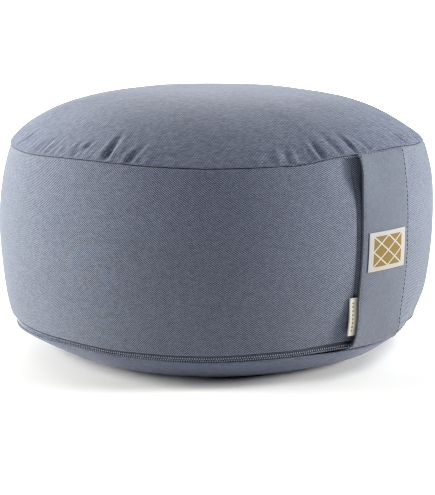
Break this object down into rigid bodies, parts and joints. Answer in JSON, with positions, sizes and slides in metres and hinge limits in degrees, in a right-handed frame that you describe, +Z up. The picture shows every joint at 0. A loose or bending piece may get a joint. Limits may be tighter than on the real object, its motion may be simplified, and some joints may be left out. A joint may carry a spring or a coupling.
{
  "type": "round meditation cushion with a carry strap",
  "caption": "Drum-shaped floor cushion of blue-grey twill with a domed, puckered top, bulging side band, zipped bottom seam and a carry strap sewn on its side.",
  "frame": {"origin": "centre of the flat base, on the surface that the cushion rests on", "axes": "+Z up along the cushion's upright axis; +X out through the middle of the carry strap"},
  "size_m": [0.3027, 0.2992, 0.1748],
  "materials": {
    "top_panel": "blue-grey cotton twill, matt",
    "side_band": "blue-grey cotton twill, matt",
    "base_panel": "blue-grey cotton twill, matt",
    "carry_strap": "folded blue-grey twill, edge-stitched",
    "zip_tape": "woven polyester tape, blue-grey",
    "zip_coil": "moulded coil, blue-grey, slightly shiny",
    "strap_label": "woven satin label, ivory",
    "side_tag": "folded woven ribbon, ivory"
  },
  "bodies": {
    "root": {"top_panel": "top_panel", "side_band": "side_band", "base_panel": "base_panel", "carry_strap": "carry_strap", "zip_tape": "zip_tape", "zip_coil": "zip_coil", "strap_label": "strap_label", "side_tag": "side_tag"}
  },
  "joints": []
}
